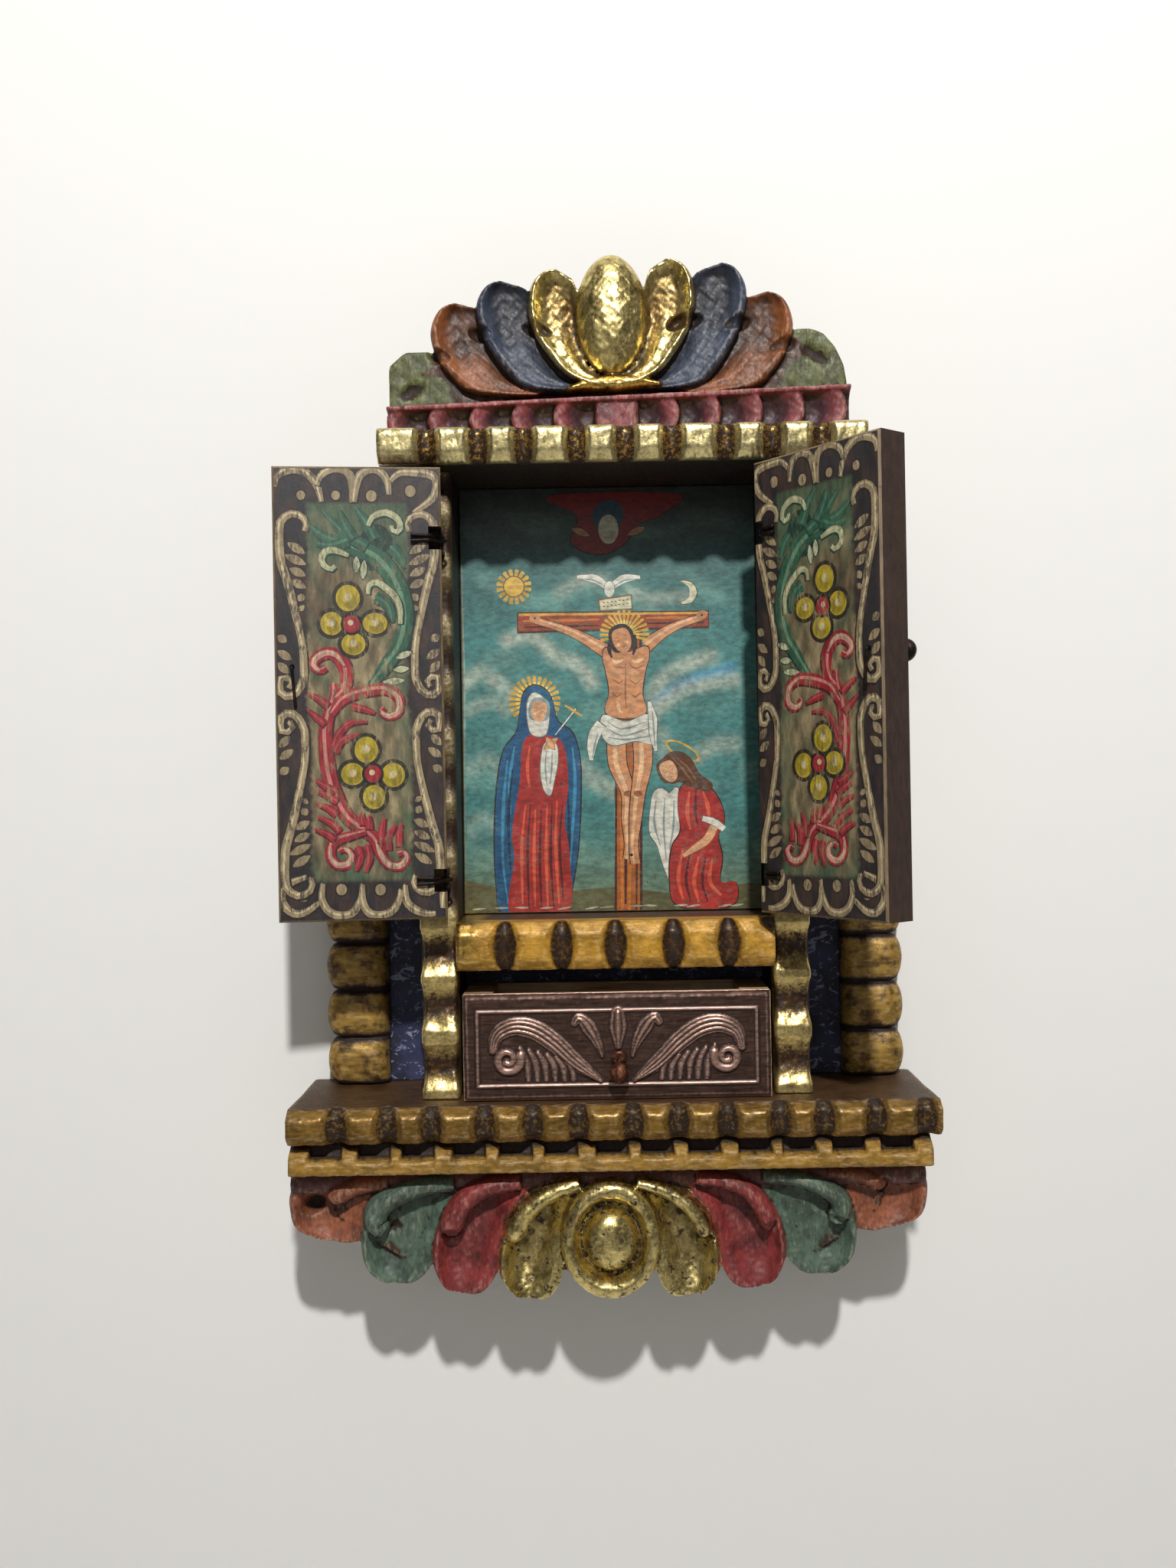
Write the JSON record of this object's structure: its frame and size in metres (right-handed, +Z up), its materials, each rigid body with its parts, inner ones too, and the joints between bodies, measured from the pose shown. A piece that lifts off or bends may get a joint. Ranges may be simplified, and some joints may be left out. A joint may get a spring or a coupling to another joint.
{
  "type": "carved hanging altarpiece",
  "caption": "Small hanging altarpiece of carved, painted and gilded wood, with a painted panel in a niche, two hinged painted doors and a drawer with an embossed copper front.",
  "frame": {"origin": "on the flat back, at about the middle of the height, where the back board lies on the wall", "axes": "+X to the viewer's right, the front faces -Y, +Z up"},
  "size_m": [0.2516, 0.1066, 0.4072],
  "materials": {
    "back_paint": "blue-black paint, worn",
    "gilding": "gold leaf on carved wood, worn to brown",
    "ochre_paint": "ochre paint with brown patina",
    "shelf_paint": "dark gold paint with brown patina",
    "crest_paint": "gold, blue, orange, green and red paint on carved wood",
    "skirt_paint": "gold, red, green and orange paint on carved wood",
    "picture": "painted panel under varnish",
    "raw_wood": "unfinished pale wood",
    "copper": "embossed sheet copper with dark patina",
    "knob_metal": "dark patinated metal",
    "door_paint": "dark brown paint with scrolls, leaves and flowers",
    "wire": "blackened iron wire"
  },
  "bodies": {
    "case": {"back_board": "back_paint", "side_wall_left": "gilding", "side_wall_right": "gilding", "column_left": "ochre_paint", "column_right": "ochre_paint", "cornice": "gilding", "crest": "crest_paint", "painted_panel": "picture", "ledge": "ochre_paint", "shelf": "shelf_paint", "notched_strip": "ochre_paint", "skirt": "skirt_paint", "hinge_staple_left_lower": "wire", "hinge_staple_left_upper": "wire", "hinge_staple_right_lower": "wire", "hinge_staple_right_upper": "wire"},
    "left_door": {"door_left": "door_paint", "door_knob_left": "wire", "hinge_loop_left_lower": "wire", "hinge_loop_left_upper": "wire"},
    "right_door": {"door_right": "door_paint", "door_knob_right": "wire", "hinge_loop_right_lower": "wire", "hinge_loop_right_upper": "wire"},
    "drawer": {"drawer_box": "raw_wood", "copper_sheet": "copper", "drawer_knob": "knob_metal"}
  },
  "joints": [
    {"name": "left_door_hinge", "type": "hinge", "parent": "case", "child": "left_door", "pos_m": [-0.0648, -0.053, 0.03], "axis": [0, 0, -1], "range_deg": [-174, 6]},
    {"name": "right_door_hinge", "type": "hinge", "parent": "case", "child": "right_door", "pos_m": [0.0613, -0.053, 0.03], "axis": [0, 0, 1], "range_deg": [-127, 53]},
    {"name": "drawer_slide", "type": "slide", "parent": "case", "child": "drawer", "axis": [0, -1, 0], "range_m": [-0.0045, 0.03]}
  ]
}
